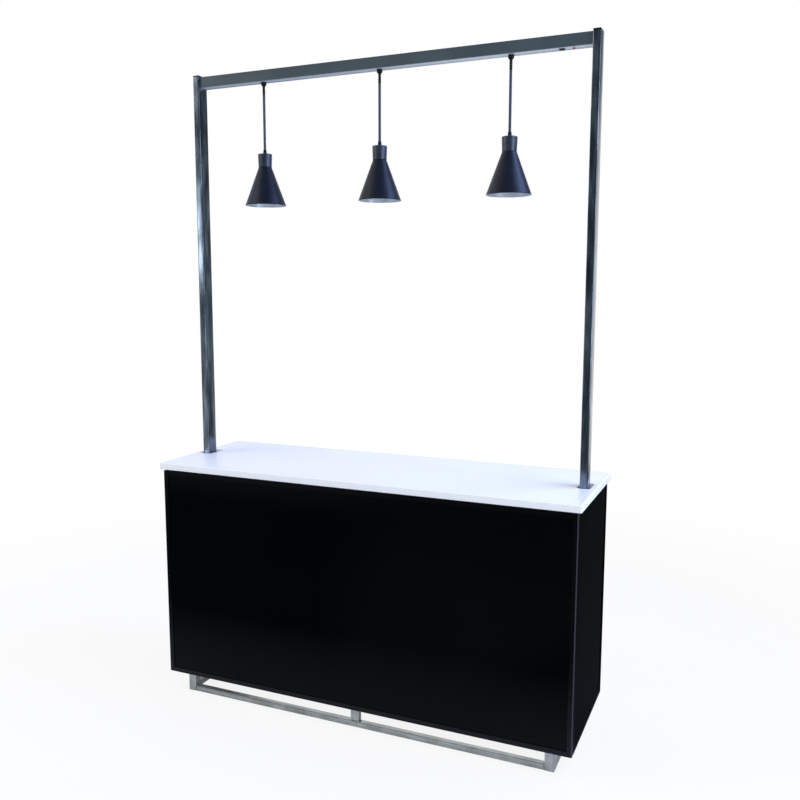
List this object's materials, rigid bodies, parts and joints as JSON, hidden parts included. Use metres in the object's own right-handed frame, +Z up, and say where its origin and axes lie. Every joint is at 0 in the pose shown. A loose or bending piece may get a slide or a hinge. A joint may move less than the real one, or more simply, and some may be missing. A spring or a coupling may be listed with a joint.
{
  "type": "folding portable bar",
  "caption": "Portable bar with black panels, a white counter, a folding stainless frame and a lift-out gantry that carries pendant lamps.",
  "frame": {"origin": "on the floor under the middle of the counter", "axes": "+X along the counter to the right as seen from the customer's side, +Y to the bartender's side, +Z up"},
  "size_m": [1.846, 0.6, 2.733],
  "materials": {
    "satin_steel": "satin",
    "polished_steel": "polished",
    "black_trim": "satin",
    "gloss_panel": "gloss",
    "white_counter": "white laminate",
    "slate_beam": "satin",
    "black_plastic": "matte",
    "cord": "matte",
    "navy_paint": "matte",
    "opal_bulb": "satin",
    "red_lens": "gloss"
  },
  "bodies": {
    "front_frame": {"front_bottom_rail": "satin_steel", "front_top_rail": "satin_steel", "front_mid_post": "satin_steel", "front_left_post": "satin_steel", "front_right_post": "satin_steel", "left_lower_hinge_pin": "satin_steel", "left_upper_hinge_pin": "satin_steel", "right_lower_hinge_pin": "satin_steel", "right_upper_hinge_pin": "satin_steel"},
    "left_wing": {"left_wing_front_post": "satin_steel", "left_wing_rear_post": "satin_steel", "left_wing_bottom_rail": "satin_steel", "left_wing_mid_rail": "satin_steel", "left_wing_top_rail": "satin_steel", "left_wing_lower_saddle": "black_plastic", "left_wing_upper_saddle": "black_plastic"},
    "right_wing": {"right_wing_front_post": "satin_steel", "right_wing_rear_post": "satin_steel", "right_wing_bottom_rail": "satin_steel", "right_wing_mid_rail": "satin_steel", "right_wing_top_rail": "satin_steel", "right_wing_lower_saddle": "black_plastic", "right_wing_upper_saddle": "black_plastic"},
    "front_panel": {"front_panel_border": "black_trim", "front_panel_sheet": "gloss_panel"},
    "left_side_panel": {"left_panel_border": "black_trim", "left_panel_sheet": "gloss_panel", "left_panel_standoff_front": "black_trim", "left_panel_standoff_rear": "black_trim"},
    "right_side_panel": {"right_panel_border": "black_trim", "right_panel_sheet": "gloss_panel", "right_panel_standoff_front": "black_trim", "right_panel_standoff_rear": "black_trim"},
    "counter": {"counter_slab": "white_counter"},
    "gantry": {"left_upright": "polished_steel", "right_upright": "polished_steel", "left_upright_cap": "black_plastic", "right_upright_cap": "black_plastic", "gantry_beam": "slate_beam", "switch_bezel": "black_plastic", "switch_indicator": "red_lens"},
    "rocker": {"switch_rocker": "black_plastic"},
    "left_lamp": {"left_lamp_swivel": "black_plastic", "left_lamp_cord": "cord", "left_lamp_cap": "navy_paint", "left_lamp_shade": "navy_paint", "left_lamp_bulb": "opal_bulb"},
    "middle_lamp": {"middle_lamp_swivel": "black_plastic", "middle_lamp_cord": "cord", "middle_lamp_cap": "navy_paint", "middle_lamp_shade": "navy_paint", "middle_lamp_bulb": "opal_bulb"},
    "right_lamp": {"right_lamp_swivel": "black_plastic", "right_lamp_cord": "cord", "right_lamp_cap": "navy_paint", "right_lamp_shade": "navy_paint", "right_lamp_bulb": "opal_bulb"}
  },
  "joints": [
    {"name": "left_wing_fold", "type": "hinge", "parent": "front_frame", "child": "left_wing", "pos_m": [-0.807, -0.22, 0.5], "axis": [0, 0, -1], "range_deg": [0, 90]},
    {"name": "right_wing_fold", "type": "hinge", "parent": "front_frame", "child": "right_wing", "pos_m": [0.807, -0.22, 0.5], "axis": [0, 0, 1], "range_deg": [0, 90]},
    {"name": "front_panel_off", "type": "slide", "parent": "front_frame", "child": "front_panel", "axis": [0, -1, 0], "range_m": [0, 0.3]},
    {"name": "left_panel_off", "type": "slide", "parent": "front_frame", "child": "left_side_panel", "axis": [-1, 0, 0], "range_m": [0, 0.3]},
    {"name": "right_panel_off", "type": "slide", "parent": "front_frame", "child": "right_side_panel", "axis": [1, 0, 0], "range_m": [0, 0.3]},
    {"name": "counter_lift", "type": "slide", "parent": "front_frame", "child": "counter", "axis": [0, 0, 1], "range_m": [0, 0.3]},
    {"name": "gantry_lift", "type": "slide", "parent": "front_frame", "child": "gantry", "axis": [0, 0, 1], "range_m": [0, 0.78]},
    {"name": "switch_rock", "type": "hinge", "parent": "gantry", "child": "rocker", "pos_m": [0.74, 0.005, 2.6834], "axis": [0, -1, 0], "range_deg": [0, 14]},
    {"name": "left_lamp_swing", "type": "hinge", "parent": "gantry", "child": "left_lamp", "pos_m": [-0.546, 0.005, 2.675], "axis": [1, 0, 0], "range_deg": [-20, 20]},
    {"name": "middle_lamp_swing", "type": "hinge", "parent": "gantry", "child": "middle_lamp", "pos_m": [0, 0.005, 2.675], "axis": [1, 0, 0], "range_deg": [-20, 20]},
    {"name": "right_lamp_swing", "type": "hinge", "parent": "gantry", "child": "right_lamp", "pos_m": [0.546, 0.005, 2.675], "axis": [1, 0, 0], "range_deg": [-20, 20]}
  ]
}
